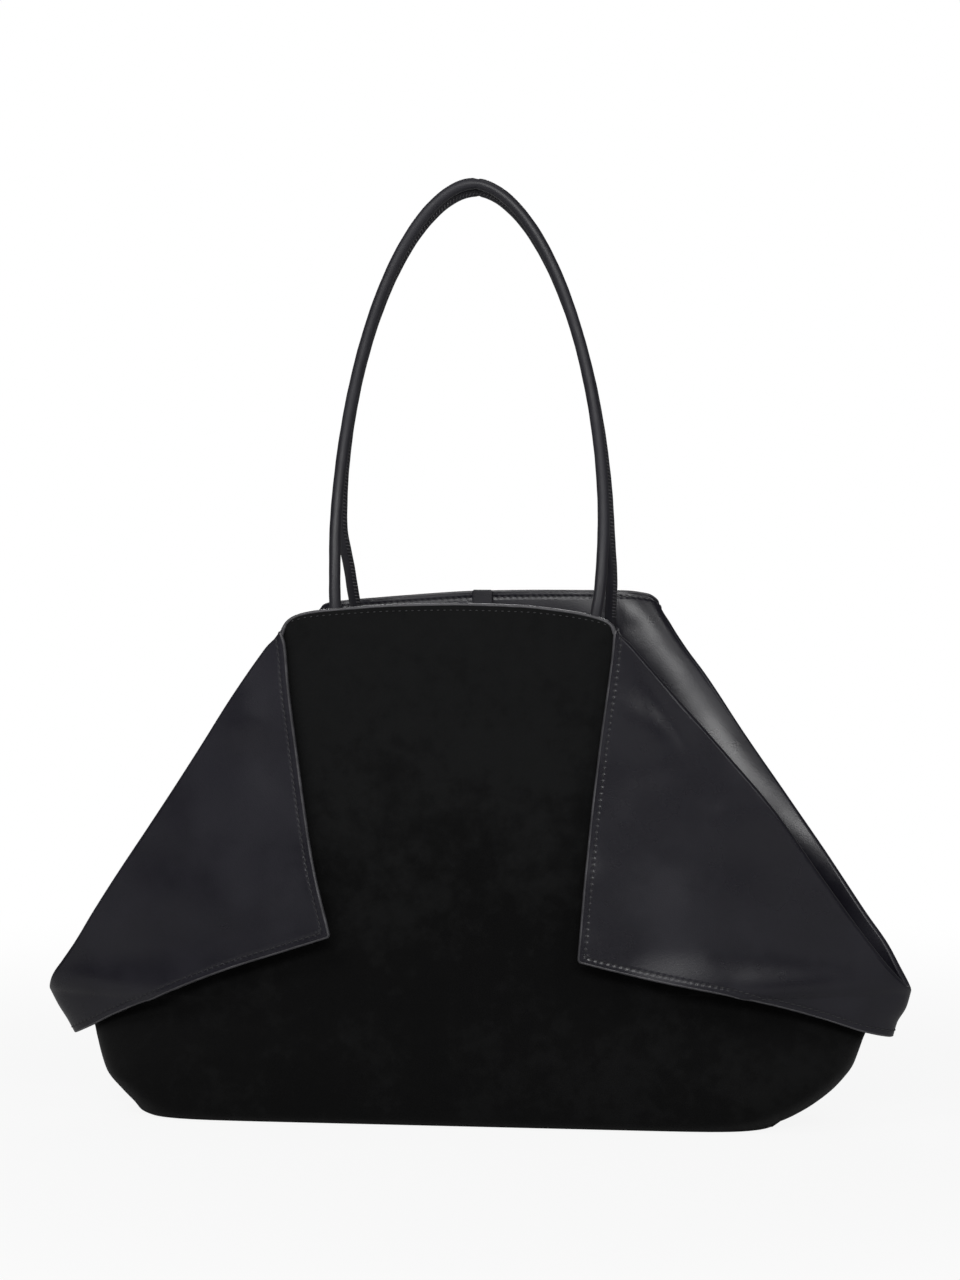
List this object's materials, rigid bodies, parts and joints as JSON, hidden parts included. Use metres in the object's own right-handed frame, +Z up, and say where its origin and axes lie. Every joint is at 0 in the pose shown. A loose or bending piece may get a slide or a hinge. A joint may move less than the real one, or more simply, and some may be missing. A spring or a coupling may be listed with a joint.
{
  "type": "handbag",
  "caption": "Wide open-top handbag: suede outside, smooth lining turned out at the corners as wings, rolled shoulder handles, stiff base and closure tabs.",
  "frame": {"origin": "middle of the base's underside, on the surface that the bag stands on", "axes": "+Z up, -Y out of the front panel, +X towards the right as seen from the front; left and right in node names are as seen from the front"},
  "size_m": [0.5346, 0.1376, 0.563],
  "materials": {
    "suede": "black suede, soft nap, matt",
    "lining_leather": "near-black smooth leather, satin with a fine grain",
    "edge_leather": "near-black smooth leather, satin",
    "handle_leather": "near-black smooth leather, satin, whip-stitched seam",
    "core_cord": "twisted cord, matt",
    "board": "plain stiff board, matt",
    "magnet": "satin steel disc"
  },
  "bodies": {
    "shell": {"front_panel": "suede", "back_panel": "suede", "base_panel": "suede", "front_lining": "lining_leather", "back_lining": "lining_leather", "base_lining": "lining_leather", "base_board": "board", "front_mouth_binding": "edge_leather", "back_mouth_binding": "edge_leather", "left_cuff_leather": "lining_leather", "left_cuff_suede": "suede", "right_cuff_leather": "lining_leather", "right_cuff_suede": "suede", "front_handle_left_root": "handle_leather", "front_handle_right_root": "handle_leather", "back_handle_left_root": "handle_leather", "back_handle_right_root": "handle_leather", "front_tab_root": "edge_leather", "back_tab_root": "edge_leather"},
    "front_left_wing": {"front_left_wing_leather": "lining_leather", "front_left_wing_suede": "suede"},
    "front_right_wing": {"front_right_wing_leather": "lining_leather", "front_right_wing_suede": "suede"},
    "back_left_wing": {"back_left_wing_leather": "lining_leather", "back_left_wing_suede": "suede"},
    "back_right_wing": {"back_right_wing_leather": "lining_leather", "back_right_wing_suede": "suede"},
    "front_handle": {"front_handle_cover": "handle_leather", "front_handle_core": "core_cord"},
    "back_handle": {"back_handle_cover": "handle_leather", "back_handle_core": "core_cord"},
    "front_tab": {"front_tab_strap": "edge_leather", "front_tab_magnet": "magnet"},
    "back_tab": {"back_tab_strap": "edge_leather", "back_tab_magnet": "magnet"}
  },
  "joints": [
    {"name": "front_left_wing_lift", "type": "hinge", "parent": "shell", "child": "front_left_wing", "pos_m": [-0.14937, -0.05456, 0.17727], "axis": [-0.3468, 0.0483, -0.9367], "range_deg": [0, 50]},
    {"name": "front_right_wing_lift", "type": "hinge", "parent": "shell", "child": "front_right_wing", "pos_m": [0.14937, -0.05456, 0.17727], "axis": [-0.3468, -0.0483, 0.9367], "range_deg": [0, 50]},
    {"name": "back_left_wing_lift", "type": "hinge", "parent": "shell", "child": "back_left_wing", "pos_m": [-0.14937, 0.05456, 0.17727], "axis": [0.3468, 0.0483, 0.9367], "range_deg": [0, 50]},
    {"name": "back_right_wing_lift", "type": "hinge", "parent": "shell", "child": "back_right_wing", "pos_m": [0.14937, 0.05456, 0.17727], "axis": [0.3468, -0.0483, -0.9367], "range_deg": [0, 50]},
    {"name": "front_handle_fall", "type": "hinge", "parent": "shell", "child": "front_handle", "pos_m": [0, -0.0334, 0.31732], "axis": [1, 0, 0], "range_deg": [0, 100]},
    {"name": "back_handle_fall", "type": "hinge", "parent": "shell", "child": "back_handle", "pos_m": [0, 0.0334, 0.31732], "axis": [-1, 0, 0], "range_deg": [0, 100]},
    {"name": "front_tab_swing", "type": "hinge", "parent": "shell", "child": "front_tab", "pos_m": [0, -0.05418, 0.3025], "axis": [1, 0, 0], "range_deg": [0, 100]},
    {"name": "back_tab_swing", "type": "hinge", "parent": "shell", "child": "back_tab", "pos_m": [0, 0.05418, 0.3025], "axis": [-1, 0, 0], "range_deg": [0, 100]}
  ]
}
